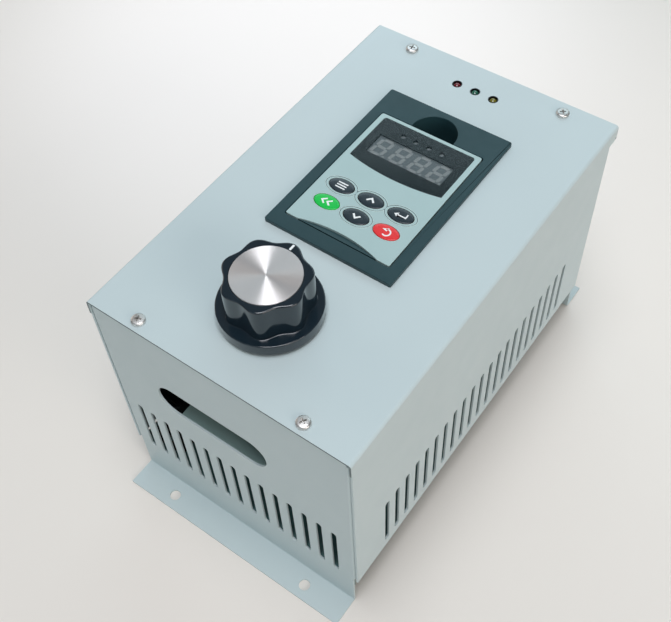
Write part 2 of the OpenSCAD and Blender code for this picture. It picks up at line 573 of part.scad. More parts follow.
module pot_nut() color(zinc) difference() {
  union() {
    rod(0, knob_y, top_z, top_z + 0.9, 7.5);
    translate([0, knob_y, top_z + 0.9 - e]) cylinder(r = 6.9, h = 2.4, $fn = 6);
  }
  rod(0, knob_y, top_z - 1, top_z + 5, 4.52);
}

// ---------- status lights ----------
module led_holders() color([0.10, 0.10, 0.11]) for (i = [-1:1]) difference() {
  union() {
    rod(i * light_dx, light_y, inz - 4, inz, 4.3);
    rod(i * light_dx, light_y, inz - 1, top_z + 0.1, 3.15);
  }
  rod(i * light_dx, light_y, inz - 5, top_z + 1, 2.55);
}
module status_led(i, c) color(c) translate([i * light_dx, light_y, 0]) {
  rod(0, 0, inz - 5.2, inz - 4.2, 2.9);
  rod(0, 0, inz - 4.3, top_z - 2.2, 2.5);
  translate([0, 0, top_z - 2.2]) intersection() { sphere(2.5); translate([-3, -3, -0.1]) cube([6, 6, 6]); }
  for (s = [-1, 1]) block(s * 1.27 - 0.25, s * 1.27 + 0.25, -0.25, 0.25, top_z - 16.4, inz - 5.1);
}
module status_led_red() status_led(-1, [0.65, 0.10, 0.15]);
module status_led_green() status_led(0, [0.05, 0.55, 0.35]);
module status_led_yellow() status_led(1, [0.65, 0.65, 0.15]);
module led_board() color([0.10, 0.38, 0.22]) difference() {
  block(-20, 20, light_y - 6, light_y + 6, top_z - 18, top_z - 16.4);
  rod(17, light_y, top_z - 19, top_z - 16, 1.2);
}

front_panel();
cable_shelf();
line_filter();
rear_panel();
floor_pan();
top_cover();
cover_screws();
cover_nuts();
heat_sink();
heat_sink_screws();
bridge_rectifier();
high_side_transistor();
low_side_transistor();
device_screws();
power_board();
board_standoffs();
board_screws();
filter_capacitor();
resonant_capacitors();
choke_core();
choke_winding();
current_transformer();
supply_transformer();
soft_start_relay();
fuse_holder();
terminal_block();
terminal_screws();
board_headers();
control_board();
inner_leads();
keypad_cable();
fan_housing();
fan_rotor();
fan_guard();
fan_screws();
earth_stud();
keypad_bezel();
keypad_socket();
pot_body();
pot_nut();
led_holders();
status_led_red();
status_led_green();
status_led_yellow();
led_board();
keypad_case();
keypad_face();
display_window();
digit_display();
keypad_board();
keypad_plug();
tact_switches();
keypad_leds();
key_menu();
key_up();
key_enter();
key_shift();
key_down();
key_reset();
knob_body();
knob_disc();
pot_shaft();
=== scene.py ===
import bpy, bmesh, math
from mathutils import Vector, Matrix


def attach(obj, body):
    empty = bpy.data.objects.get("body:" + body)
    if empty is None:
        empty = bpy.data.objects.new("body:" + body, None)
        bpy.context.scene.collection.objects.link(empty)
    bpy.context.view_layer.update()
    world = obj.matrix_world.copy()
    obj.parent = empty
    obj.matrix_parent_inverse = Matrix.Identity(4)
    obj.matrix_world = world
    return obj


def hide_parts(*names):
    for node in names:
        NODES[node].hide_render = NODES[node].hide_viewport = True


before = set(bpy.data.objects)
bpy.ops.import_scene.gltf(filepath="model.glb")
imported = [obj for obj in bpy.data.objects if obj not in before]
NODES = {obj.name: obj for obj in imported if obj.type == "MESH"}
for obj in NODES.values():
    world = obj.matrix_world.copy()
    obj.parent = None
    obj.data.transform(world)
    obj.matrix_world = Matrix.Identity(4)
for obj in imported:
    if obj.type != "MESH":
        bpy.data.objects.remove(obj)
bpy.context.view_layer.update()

MM = 0.001
scene = bpy.context.scene

# ------------------------------------------------------------------ camera
cam_data = bpy.data.cameras.new("camera")
cam_data.sensor_fit = "HORIZONTAL"
cam_data.sensor_width = 36.0
cam_data.lens = 36.0 * 1009.3 / 671.0
cam_data.clip_start = 0.01
cam_data.clip_end = 20.0
cam = bpy.data.objects.new("camera", cam_data)
scene.collection.objects.link(cam)
right, up, look = Vector((0.80943, 0.585975, -0.037252)), Vector((-0.454646, 0.665657, 0.591735)), Vector((-0.371575, 0.462053, -0.805263))
m = Matrix((right, up, -look)).transposed().to_4x4()
m.translation = Vector((0.21869, -0.30381, 0.59002))
cam.matrix_world = m
scene.camera = cam

# ------------------------------------------------------------------ materials
def srgb(r, g, b):
    def f(c):
        c /= 255.0
        return c / 12.92 if c <= 0.04045 else ((c + 0.055) / 1.055) ** 2.4
    return (f(r), f(g), f(b), 1.0)


class Mat:
    """A small builder for procedural materials in object space, in metres."""

    def __init__(self, name, base, rough, metal=0.0, spec=0.5):
        self.m = bpy.data.materials.new(name)
        self.m.use_nodes = True
        self.nt = self.m.node_tree
        self.b = self.nt.nodes["Principled BSDF"]
        self.b.inputs["Base Color"].default_value = base
        self.b.inputs["Roughness"].default_value = rough
        self.b.inputs["Metallic"].default_value = metal
        self.b.inputs["Specular IOR Level"].default_value = spec
        self.base, self.rough = base, rough
        self.tc = self.nt.nodes.new("ShaderNodeTexCoord")
        self.height = None

    def n(self, kind, **kw):
        node = self.nt.nodes.new(kind)
        for k, v in kw.items():
            if k in node.inputs:
                node.inputs[k].default_value = v
            else:
                setattr(node, k, v)
        return node

    def link(self, a, b):
        self.nt.links.new(a, b)

    def noise(self, scale, detail=2.0, rough=0.5, stretch=None):
        t = self.n("ShaderNodeTexNoise", Scale=scale, Detail=detail, Roughness=rough)
        if stretch:
            mp = self.n("ShaderNodeMapping")
            mp.inputs["Scale"].default_value = stretch
            self.link(self.tc.outputs["Object"], mp.inputs["Vector"])
            self.link(mp.outputs["Vector"], t.inputs["Vector"])
        else:
            self.link(self.tc.outputs["Object"], t.inputs["Vector"])
        return t.outputs["Fac"]

    def ramp(self, fac, c0, c1, p0=0.3, p1=0.7):
        r = self.n("ShaderNodeValToRGB")
        r.color_ramp.elements[0].position, r.color_ramp.elements[1].position = p0, p1
        r.color_ramp.elements[0].color, r.color_ramp.elements[1].color = c0, c1
        self.link(fac, r.inputs["Fac"])
        return r.outputs["Color"]

    def colour_noise(self, scale, amount, detail=3.0, tint=None, p0=0.35, p1=0.65, stretch=None):
        """Base colour varies by +-amount over noise of that scale."""
        lo = tuple(max(0.0, c * (1 - amount)) for c in self.base[:3]) + (1,)
        hi = tint or tuple(min(1.0, c * (1 + amount)) for c in self.base[:3]) + (1,)
        col = self.ramp(self.noise(scale, detail, stretch=stretch), lo, hi, p0, p1)
        self.link(col, self.b.inputs["Base Color"])
        self.col = col
        return self

    def over(self, fac, colour):
        """Mixes a second colour over the base colour by a factor socket."""
        mx = self.n("ShaderNodeMix", data_type="RGBA")
        self.link(fac, mx.inputs["Factor"])
        src = getattr(self, "col", None)
        if src is None:
            mx.inputs[6].default_value = self.base
        else:
            self.link(src, mx.inputs[6])
        mx.inputs[7].default_value = colour
        self.col = mx.outputs[2]
        self.link(self.col, self.b.inputs["Base Color"])
        return self

    def rough_noise(self, scale, lo, hi, detail=2.0, stretch=None):
        r = self.n("ShaderNodeMapRange")
        self.link(self.noise(scale, detail, stretch=stretch), r.inputs["Value"])
        r.inputs["From Min"].default_value, r.inputs["From Max"].default_value = 0.3, 0.7
        r.inputs["To Min"].default_value, r.inputs["To Max"].default_value = lo, hi
        self.link(r.outputs["Result"], self.b.inputs["Roughness"])
        return self

    def bump(self, fac, strength, dist):
        b = self.n("ShaderNodeBump")
        b.inputs["Strength"].default_value = strength
        b.inputs["Distance"].default_value = dist
        self.link(fac, b.inputs["Height"])
        if self.height is not None:
            self.link(self.height, b.inputs["Normal"])
        self.height = b.outputs["Normal"]
        self.link(self.height, self.b.inputs["Normal"])
        return self


def paint(name, base, rough=0.42):
    """Powder coat: fine orange peel, tiny specks, slow colour drift."""
    k = Mat(name, base, rough, spec=0.45)
    k.colour_noise(9, 0.012, detail=2.0)
    speck = k.ramp(k.noise(5200, 1.0), (1, 1, 1, 1), (0, 0, 0, 1), 0.27, 0.31)
    soft = k.n("ShaderNodeMath", operation="MULTIPLY")
    k.link(speck, soft.inputs[0])
    soft.inputs[1].default_value = 0.05
    k.over(soft.outputs[0], tuple(c * 0.55 for c in base[:3]) + (1,))
    k.rough_noise(60, rough - 0.04, rough + 0.05)
    k.bump(k.noise(1100, 3.0, 0.6), 0.10, 0.00012)
    k.bump(k.noise(6500, 1.0), 0.05, 0.00002)
    return k.m


def plastic(name, base, rough, grain=3500, strength=0.12, drift=0.03, coat=0.0, spec=0.5):
    k = Mat(name, base, rough, spec=spec)
    k.colour_noise(35, drift)
    k.rough_noise(180, max(0.02, rough - 0.05), rough + 0.06)
    k.bump(k.noise(grain, 2.0), strength, 0.00003)
    if coat:
        k.b.inputs["Coat Weight"].default_value = coat
        k.b.inputs["Coat Roughness"].default_value = 0.06
    return k.m


def metal(name, base, rough, grain=1500, stretch=None, drift=0.08, strength=0.15):
    k = Mat(name, base, rough, metal=1.0)
    k.colour_noise(120, drift, detail=4.0)
    k.rough_noise(400, max(0.05, rough - 0.08), rough + 0.1, detail=3.0, stretch=stretch)
    k.bump(k.noise(grain, 3.0, stretch=stretch), strength, 0.00003)
    return k.m


def lens(name, base, core):
    k = Mat(name, base, 0.12, spec=0.6)
    k.colour_noise(420, 0.25, detail=1.0)
    k.b.inputs["Coat Weight"].default_value = 0.7
    k.b.inputs["Coat Roughness"].default_value = 0.04
    k.b.inputs["Transmission Weight"].default_value = 0.25
    k.bump(k.noise(300, 1.0), 0.05, 0.00005)
    return k.m


def board(name):
    """Green solder mask over traces."""
    k = Mat(name, (0.012, 0.11, 0.045, 1), 0.32)
    k.colour_noise(70, 0.10)
    w = k.n("ShaderNodeTexWave", wave_type="BANDS", bands_direction="DIAGONAL")
    w.inputs["Scale"].default_value = 170
    w.inputs["Distortion"].default_value = 0.6
    k.link(k.tc.outputs["Object"], w.inputs["Vector"])
    tr = k.ramp(w.outputs["Fac"], (0, 0, 0, 1), (0.35, 0.35, 0.35, 1), 0.72, 0.76)
    k.over(tr, (0.03, 0.20, 0.08, 1))
    k.bump(w.outputs["Fac"], 0.15, 0.00004)
    return k.m


def wound(name, base, pitch):
    k = Mat(name, base, 0.3, metal=0.6)
    w = k.n("ShaderNodeTexWave", wave_type="BANDS", bands_direction="Z")
    w.inputs["Scale"].default_value = pitch
    k.link(k.tc.outputs["Object"], w.inputs["Vector"])
    # the bands turn darker where the bump is low, in the grooves between turns: painted shade
    k.link(k.ramp(w.outputs["Fac"], tuple(c * 0.45 for c in base[:3]) + (1,), base, 0.1, 0.6), k.b.inputs["Base Color"])
    k.bump(w.outputs["Fac"], 0.8, 0.0003)
    return k.m


def ribbon(name, base):
    k = Mat(name, base, 0.5)
    w = k.n("ShaderNodeTexWave", wave_type="BANDS", bands_direction="X")
    w.inputs["Scale"].default_value = 250
    k.link(k.tc.outputs["Object"], w.inputs["Vector"])
    # the bands turn darker where the bump is low, in the grooves between conductors: painted shade
    k.link(k.ramp(w.outputs["Fac"], tuple(c * 0.6 for c in base[:3]) + (1,), base, 0.1, 0.5), k.b.inputs["Base Color"])
    k.bump(w.outputs["Fac"], 0.5, 0.0002)
    return k.m


def spun(name):
    """Aluminium turned in fine rings: anisotropic, with a radial tangent."""
    k = Mat(name, (0.76, 0.73, 0.72, 1), 0.36, metal=0.66)
    k.b.inputs["Anisotropic"].default_value = 1.0
    k.b.inputs["Anisotropic Rotation"].default_value = 0.25
    tan = k.n("ShaderNodeTangent", direction_type="RADIAL", axis="Z")
    k.link(tan.outputs["Tangent"], k.b.inputs["Tangent"])
    w = k.n("ShaderNodeTexWave", wave_type="RINGS", rings_direction="SPHERICAL")
    mp = k.n("ShaderNodeMapping")
    mp.inputs["Location"].default_value = (0, 0.0842, -0.205)
    k.link(k.tc.outputs["Object"], mp.inputs["Vector"])
    k.link(mp.outputs["Vector"], w.inputs["Vector"])
    w.inputs["Scale"].default_value = 900
    w.inputs["Distortion"].default_value = 0.4
    w.inputs["Detail"].default_value = 2.0
    k.link(k.ramp(w.outputs["Fac"], (0.66, 0.635, 0.625, 1), (0.80, 0.77, 0.76, 1), 0.2, 0.8), k.b.inputs["Base Color"])
    return k.m


M = {
    "sheet": paint("powder_coat", srgb(190, 205, 207)),
    "zinc": metal("zinc_plate", (0.56, 0.57, 0.58, 1), 0.30),
    "alu": metal("extruded_aluminium", (0.62, 0.63, 0.64, 1), 0.36, stretch=(1, 0.02, 1)),
    "screw": metal("bright_zinc", (0.68, 0.67, 0.65, 1), 0.40),
    # the floor pan's coat is much darker than the case's: painted shade, so the interior seen through the slots stays
    # dark
    "pan": paint("floor_pan_painted_shade", srgb(78, 112, 112)),
    # the cable shelf's coat is darker and greener than the case's: painted shade of the interior behind the front slot
    "shelf": paint("shelf_painted_shade", srgb(148, 176, 172)),
    "matte": plastic("matte_case", (0.012, 0.014, 0.015, 1), 0.8, spec=0.1),
    # dark steel for the strip along the cover's edges: painted shade of the gap under the cover's lip
    "cut": metal("edge_shade_metal", (0.20, 0.25, 0.26, 1), 0.55),
    "disc": spun("spun_aluminium"),
    "steel": metal("turned_steel", (0.5, 0.5, 0.51, 1), 0.28, stretch=(1, 1, 8)),
    "brass": metal("turned_brass", (0.72, 0.52, 0.20, 1), 0.30),
    "epoxy": plastic("black_epoxy", (0.012, 0.012, 0.013, 1), 0.45),
    "board": board("solder_mask"),
    "cream": plastic("cream_capacitor", (0.62, 0.59, 0.47, 1), 0.35),
    "bluecap": plastic("blue_capacitor", (0.02, 0.05, 0.2, 1), 0.3),
    "ferrite": plastic("ferrite", (0.02, 0.02, 0.022, 1), 0.55, grain=5000, strength=0.3),
    "copper": wound("copper_winding", (0.60, 0.24, 0.09, 1), 260),
    "tape": plastic("yellow_tape", (0.6, 0.42, 0.05, 1), 0.25),
    "relay": plastic("blue_moulding", (0.01, 0.06, 0.28, 1), 0.3),
    "black": plastic("black_moulding", (0.010, 0.010, 0.011, 1), 0.38),
    "nylon": plastic("white_nylon", (0.62, 0.62, 0.58, 1), 0.4),
    "ribbon": ribbon("ribbon_lead", (0.12, 0.12, 0.13, 1)),
    "slate": plastic("slate_moulding", srgb(36, 64, 69), 0.42, grain=2600, strength=0.25, drift=0.05, spec=0.35),
    "pot": metal("pressed_steel", (0.3, 0.3, 0.31, 1), 0.4),
    "holder": plastic("gloss_ring", (0.006, 0.006, 0.007, 1), 0.2),
    "red": lens("red_lens", (0.16, 0.004, 0.012, 1), None),
    "green": lens("green_lens", (0.004, 0.13, 0.075, 1), None),
    "yellow": lens("yellow_lens", (0.20, 0.18, 0.012, 1), None),
    "face": plastic("keypad_film", srgb(166, 192, 192), 0.36, grain=2400, strength=0.10, drift=0.015),
    "print": plastic("window_print", srgb(6, 20, 24), 0.2, grain=900, strength=0.03),
    "digit": plastic("display_block", srgb(112, 124, 128), 0.45, drift=0.03),
    "seg": plastic("display_segment", srgb(160, 168, 168), 0.45, drift=0.02),
    "lamp": plastic("lamp_lens", srgb(150, 160, 163), 0.25),
    "key": plastic("dark_key", srgb(34, 47, 55), 0.24, grain=1800, strength=0.05, coat=0.3),
    "keyg": plastic("green_key", srgb(6, 190, 72), 0.28, grain=1800, strength=0.05, coat=0.2),
    "keyr": plastic("red_key", srgb(226, 52, 54), 0.28, grain=1800, strength=0.05, coat=0.2),
    # film colour lighter than the face, for the raised rims around the keys: painted highlight
    "rim": plastic("film_rim_painted_highlight", srgb(190, 212, 209), 0.34, grain=2400, strength=0.08, drift=0.01),
    "white": plastic("white_ink", srgb(235, 240, 240), 0.5),
    # black phenolic whose base colour carries a teal-blue tint: painted reflection of the teal case
    "knob": plastic("black_phenolic_reflection_tint", (0.008, 0.017, 0.025, 1), 0.13, grain=700, strength=0.04, coat=0.45, spec=0.5),
}
clear = Mat("clear_window", srgb(20, 42, 46), 0.1, spec=0.3)
clear.b.inputs["Alpha"].default_value = 0.14
clear.bump(clear.noise(260, 1.0), 0.03, 0.00005)
M["clear"] = clear.m

CAD_LOOK = {
    "front_panel": "sheet", "rear_panel": "sheet", "floor_pan": "pan", "top_cover": "sheet", "cable_shelf": "shelf",
    "line_filter": "matte", "cover_screws": "zinc",
    "cover_nuts": "zinc", "heat_sink": "alu", "heat_sink_screws": "zinc", "bridge_rectifier": "epoxy",
    "high_side_transistor": "epoxy", "low_side_transistor": "epoxy", "device_screws": "zinc", "power_board": "board",
    "board_standoffs": "brass", "board_screws": "zinc", "filter_capacitor": "cream", "resonant_capacitors": "bluecap",
    "choke_core": "ferrite", "choke_winding": "copper", "current_transformer": "relay", "supply_transformer": "tape",
    "soft_start_relay": "relay", "fuse_holder": "black", "terminal_block": "black", "terminal_screws": "zinc",
    "board_headers": "nylon", "control_board": "board", "inner_leads": "ribbon", "keypad_cable": "ribbon",
    "fan_housing": "black", "fan_rotor": "black", "fan_guard": "zinc", "fan_screws": "zinc", "earth_stud": "brass",
    "keypad_bezel": "slate", "keypad_socket": "black", "pot_body": "pot", "pot_nut": "zinc", "led_holders": "holder",
    "status_led_red": "red", "status_led_green": "green", "status_led_yellow": "yellow", "led_board": "board",
    "keypad_case": "slate", "keypad_face": "face", "display_window": "print", "digit_display": "digit",
    "keypad_board": "board", "keypad_plug": "black", "tact_switches": "black", "keypad_leds": "lamp",
    "key_menu": "key", "key_up": "key", "key_enter": "key", "key_shift": "keyg", "key_down": "key", "key_reset": "keyr",
    "knob_body": "knob", "knob_disc": "disc", "pot_shaft": "steel",
}
for node, look_name in CAD_LOOK.items():
    ob = NODES[node]
    ob.data.materials.clear()
    ob.data.materials.append(M[look_name])

# ------------------------------------------------------------------ mesh helpers
def add(name, bm, mat, body, node=None, smooth=30.0):
    """Makes an object of a bmesh in metres, gives it its look and lets it ride."""
    me = bpy.data.meshes.new(name)
    bmesh.ops.recalc_face_normals(bm, faces=bm.faces)
    bm.to_mesh(me)
    bm.free()
    return dress(name, me, mat, body, node, smooth)


def dress(name, me, mat, body, node=None, smooth=30.0, flat=False):
    if "custom_normal" in me.attributes:
        me.attributes.remove(me.attributes["custom_normal"])
    me.materials.clear()
    me.materials.append(M[mat])
    for p in me.polygons:
        p.use_smooth = True
    me.set_sharp_from_angle(angle=math.radians(smooth))
    tmp = bpy.data.objects.new("tmp", me)
    scene.collection.objects.link(tmp)
    md = tmp.modifiers.new("flat", "WEIGHTED_NORMAL")
    md.keep_sharp, md.weight, md.mode = True, 80, "FACE_AREA"
    me = bpy.data.meshes.new_from_object(tmp.evaluated_get(bpy.context.evaluated_depsgraph_get()))
    bpy.data.objects.remove(tmp)
    if flat:
        # faces square to an axis keep their own normal, so that big sheets stay flat
        ns = [tuple(c.vector) for c in me.corner_normals]
        for p in me.polygons:
            if max(abs(c) for c in p.normal) > 0.99999:
                for k in p.loop_indices:
                    ns[k] = tuple(p.normal)
        me.normals_split_custom_set(ns)
    ob = bpy.data.objects.new(name, me)
    scene.collection.objects.link(ob)
    if body == "stage":
        return ob
    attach(ob, body)
    if node:
        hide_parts(node)
    return ob


def skin(node, width, body, mat, segments=2, angle=35.0, edit=None, name=None, half=False):
    """A copy of a CAD node with its edges rounded."""
    me = NODES[node].data.copy()
    bm = bmesh.new()
    bm.from_mesh(me)
    bmesh.ops.remove_doubles(bm, verts=bm.verts, dist=2e-6)
    if half:
        bmesh.ops.bisect_plane(bm, geom=bm.verts[:] + bm.edges[:] + bm.faces[:], plane_co=(0, 0, 0), plane_no=(1, 0, 0), clear_inner=True)
    bmesh.ops.dissolve_limit(bm, angle_limit=math.radians(0.4), verts=bm.verts, edges=bm.edges, delimit=set())
    if edit:
        edit(bm)
    lo = [min(v.co[i] for v in NODES[node].data.vertices) for i in range(3)]
    hi = [max(v.co[i] for v in NODES[node].data.vertices) for i in range(3)]
    for v in bm.verts:
        v.co = [min(max(c, a), b) for c, a, b in zip(v.co, lo, hi)]
    bm.to_mesh(me)
    bm.free()
    tmp = bpy.data.objects.new("tmp", me)
    scene.collection.objects.link(tmp)
    md = tmp.modifiers.new("edge", "BEVEL")
    md.width, md.segments, md.limit_method = width * MM, segments, "ANGLE"
    md.angle_limit = math.radians(angle)
    md.use_clamp_overlap = True
    md.miter_outer = "MITER_ARC"
    out = bpy.data.meshes.new_from_object(tmp.evaluated_get(bpy.context.evaluated_depsgraph_get()))
    bpy.data.objects.remove(tmp)
    for v in out.vertices:
        v.co = [min(max(c, a), b) for c, a, b in zip(v.co, lo, hi)]
    if half:
        bm = bmesh.new()
        bm.from_mesh(out)
        twin = bmesh.ops.duplicate(bm, geom=bm.verts[:] + bm.edges[:] + bm.faces[:])["geom"]
        for v in [g for g in twin if isinstance(g, bmesh.types.BMVert)]:
            v.co.x = -v.co.x
        bmesh.ops.reverse_faces(bm, faces=[g for g in twin if isinstance(g, bmesh.types.BMFace)])
        bmesh.ops.remove_doubles(bm, verts=[v for v in bm.verts if abs(v.co.x) < 1e-6], dist=1e-6)
        bm.to_mesh(out)
        bm.free()
    return dress(name or node + "_skin", out, mat, body, node, 25.0, flat=mat in ("sheet", "pan", "slate"))


def rings(name, levels, mat, body, node=None, smooth=30.0, cap0=True, cap1=True, extra=None):
    """Closed skin through rings of equal length; each level is a list of (x, y, z) in millimetres."""
    bm = bmesh.new()
    loops = [[bm.verts.new((x * MM, y * MM, z * MM)) for x, y, z in lv] for lv in levels]
    n = len(loops[0])
    for a, b in zip(loops, loops[1:]):
        for i in range(n):
            j = (i + 1) % n
            bm.faces.new((a[i], a[j], b[j], b[i]))
    if cap0:
        bm.faces.new(list(reversed(loops[0])))
    if cap1:
        bm.faces.new(loops[-1])
    if extra:
        extra(bm)
    return add(name, bm, mat, body, node, smooth)


def plate(name, loops, z0, z1, mat, body, node=None, bevel=0.15, res=2, smooth=30.0):
    """Flat plate with true outlines (outer and holes, in millimetres) and rounded rims, through a filled curve."""
    cu = bpy.data.curves.new(name + "_c", "CURVE")
    cu.dimensions = "2D"
    cu.fill_mode = "BOTH"
    for lp in loops:
        sp = cu.splines.new("POLY")
        sp.points.add(len(lp) - 1)
        for p, (x, y) in zip(sp.points, lp):
            p.co = (x * MM, y * MM, 0, 1)
        sp.use_cyclic_u = True
    cu.extrude = max(0.0, (z1 - z0) / 2 - bevel) * MM
    cu.bevel_depth = bevel * MM
    cu.bevel_resolution = res
    cu.offset = -bevel * MM
    tmp = bpy.data.objects.new("tmp", cu)
    scene.collection.objects.link(tmp)
    me = bpy.data.meshes.new_from_object(tmp.evaluated_get(bpy.context.evaluated_depsgraph_get()))
    bpy.data.objects.remove(tmp)
    me.transform(Matrix.Translation((0, 0, (z0 + z1) / 2 * MM)))
    bm = bmesh.new()
    bm.from_mesh(me)
    bmesh.ops.remove_doubles(bm, verts=bm.verts, dist=1e-7)
    bmesh.ops.recalc_face_normals(bm, faces=bm.faces)
    bm.to_mesh(me)
    bm.free()
    return dress(name, me, mat, body, node, smooth)


def arc(cx, cy, r, a0, a1, n):
    return [(cx + r * math.cos(math.radians(a0 + (a1 - a0) * i / n)), cy + r * math.sin(math.radians(a0 + (a1 - a0) * i / n))) for i in range(n + 1)]


def rrect(x0, x1, y0, y1, r, n=8):
    return arc(x1 - r, y1 - r, r, 0, 90, n) + arc(x0 + r, y1 - r, r, 90, 180, n) + arc(x0 + r, y0 + r, r, 180, 270, n) + arc(x1 - r, y0 + r, r, 270, 360, n)


def oval(cx, cy, rx, ry, n=72):
    return [(cx + rx * math.cos(2 * math.pi * i / n), cy + ry * math.sin(2 * math.pi * i / n)) for i in range(n)]


# ------------------------------------------------------------------ sheet metal
for node in ("top_cover", "front_panel", "rear_panel", "floor_pan"):
    skin(node, 0.18, "chassis", CAD_LOOK[node], half=node == "top_cover")

# dark strip along the cover's sheet edge, at both ends and down the ears: painted shade of the gap under the cover's
# edge
bm = bmesh.new()
outer = [(-84.98, 163.6)] + [(-83.0 - 1.98 * math.cos(math.radians(t)), 172.0 + 1.98 * math.sin(math.radians(t))) for t in range(0, 91, 10)]
inner = [(-83.85, 163.6)] + [(-83.0 - 0.85 * math.cos(math.radians(t)), 172.0 + 0.85 * math.sin(math.radians(t))) for t in range(0, 91, 10)]
outer += [(-x, z) for x, z in outer[::-1]]
inner += [(-x, z) for x, z in inner[::-1]]
for ya, yb in ((-133.425, -133.2), (136.625, 136.4)):
    q = [[bm.verts.new((x * MM, y * MM, z * MM)) for x, z in line] for y, line in ((ya, outer), (ya, inner), (yb, inner), (yb, outer))]
    for i in range(len(outer) - 1):
        for a, b in ((0, 1), (1, 2), (2, 3), (3, 0)):
            bm.faces.new((q[a][i], q[b][i], q[b][i + 1], q[a][i + 1]))
    for e in (0, -1):
        bm.faces.new([q[k][e] for k in range(4)])
add("cover_edge_painted_shade", bm, "cut", "chassis")

# ------------------------------------------------------------------ knob
KX, KY = 0.0, -84.2


def lobes(off, z, n=336):
    out = []
    for i in range(n):
        t = 2 * math.pi * i / n
        r = 22.7 + 1.35 * math.cos(7 * (t - math.pi / 2)) - off
        out.append((KX + r * math.cos(t), KY + r * math.sin(t), z))
    return out


def circ(r, z, n=336):
    return [(KX + r * math.cos(2 * math.pi * i / n), KY + r * math.sin(2 * math.pi * i / n), z) for i in range(n)]


def rnd(f, r, z, q):
    """Rounded rim of radius q that ends at height z; f makes the ring. The argument r is not used."""
    return [f(q - q * math.cos(math.radians(t)), z - q + q * math.sin(math.radians(t))) for t in (15, 30, 45, 60, 75, 90)]


lv = [circ(3.05, 184.5), circ(11.0, 184.5), circ(11.0, 176.0), circ(27.7, 176.0), circ(28.0, 176.12), circ(28.15, 176.5), circ(28.2, 182.4)]
lv += rnd(lambda o, z: circ(28.2 - o, z), 28.2, 183.0, 0.6)
lv += [circ(25.6, 183.0), lobes(-0.45, 183.02), lobes(-0.15, 183.16), lobes(0.0, 183.6), lobes(0.1, 192.0), lobes(0.2, 203.85)]
lv += rnd(lambda o, z: lobes(0.2 + o, z), 0, 204.8, 0.95)
lv += [lobes(1.5, 204.8), circ(19.2, 204.8), circ(18.9, 204.76), circ(18.7, 204.6), circ(18.62, 204.2), circ(3.05, 204.0), circ(3.05, 199.0)]
rings("knob_grip", lv, "knob", "knob", "knob_body", smooth=28.0, cap0=False, cap1=True)

# white pointer from the disc to the edge of the lobe, running a little way down it
bm = bmesh.new()
path = [(19.2, 204.83), (20.6, 204.84), (22.6, 204.84), (23.2, 204.72), (23.6, 204.4), (23.84, 203.9), (23.9, 203.2)]
left, rgt = [], []
for r, z in path:
    left.append((bm.verts.new(((KX - 0.62) * MM, (KY + r) * MM, z * MM)), bm.verts.new(((KX - 0.62) * MM, (KY + r - 0.25) * MM, (z - 0.3) * MM))))
    rgt.append((bm.verts.new(((KX + 0.62) * MM, (KY + r) * MM, z * MM)), bm.verts.new(((KX + 0.62) * MM, (KY + r - 0.25) * MM, (z - 0.3) * MM))))
for i in range(len(path) - 1):
    bm.faces.new((left[i][0], rgt[i][0], rgt[i + 1][0], left[i + 1][0]))
    bm.faces.new((left[i][1], left[i][0], left[i + 1][0], left[i + 1][1]))
    bm.faces.new((rgt[i][0], rgt[i][1], rgt[i + 1][1], rgt[i + 1][0]))
    bm.faces.new((left[i][1], left[i + 1][1], rgt[i + 1][1], rgt[i][1]))
for e in (0, -1):
    bm.faces.new((left[e][0], left[e][1], rgt[e][1], rgt[e][0]))
add("knob_pointer", bm, "white", "knob")

lv = [circ(18.5, 204.05, 180), circ(18.5, 204.82, 180), circ(18.44, 204.93, 180), circ(18.3, 204.98, 180)]
lv += [circ(r, 204.985, 180) for r in (14, 10, 6, 3, 1.2, 0.6)]
lv += [circ(0.25, 204.96, 180)]
rings("knob_cap_disc", lv, "disc", "knob", "knob_disc", smooth=40.0)

# ------------------------------------------------------------------ keypad bezel and case
skin("keypad_bezel", 0.45, "chassis", "slate", segments=3)


def scoop(bm):
    """The grip in front of the face slopes down towards the face's hollow edge."""
    for v in bm.verts:
        x, y, z = v.co.x / MM, v.co.y / MM, v.co.z / MM
        if z > 176.3:
            v.co.z = (176.7 - 1.1 * min(1.0, max(0.0, (y + 27.4) / 4.2))) * MM


skin("keypad_case", 0.25, "keypad", "slate", edit=scoop)

# ------------------------------------------------------------------ keypad face
NR, NY = 85.7, -23.2 - 85.7
ax = math.sqrt(NR ** 2 - (-27.4 - NY) ** 2)
a0 = math.degrees(math.atan2(-27.4 - NY, ax))
outline = arc(32.7, 65.7, 1.5, 0, 90, 6) + arc(-32.7, 65.7, 1.5, 90, 180, 6) + arc(-33.4, -26.6, 0.8, 180, 270, 4)
outline += arc(0, NY, NR, 180 - a0, a0, 48)
outline += arc(33.4, -26.6, 0.8, 270, 360, 4)


def window(g):
    """Window outline: square rear corners of radius 1.8, front edge bulging forward."""
    r, cy, hx = 133.6 + g, 158.8, 30.8 + g
    t = math.degrees(math.asin(hx / r))
    pts = arc(hx - 1.8, 64.9 + g - 1.8, 1.8, 0, 90, 8) + arc(-hx + 1.8, 64.9 + g - 1.8, 1.8, 90, 180, 8)
    return pts + arc(0, cy, r, 270 - t, 270 + t, 48)


KEYS = {
    "menu": (-19.8, 5.4, "key"), "up": (0.0, 5.4, "key"), "enter": (19.8, 5.4, "key"),
    "shift": (-19.8, -8.9, "keyg"), "down": (0.0, -8.9, "key"), "reset": (19.8, -8.9, "keyr"),
}
holes = [oval(x, y, 8.3, 5.2) for x, y, _ in KEYS.values()]
plate("face_plate", [outline, window(0.1)] + holes, 175.0, 177.0, "face", "keypad", "keypad_face", bevel=0.18)


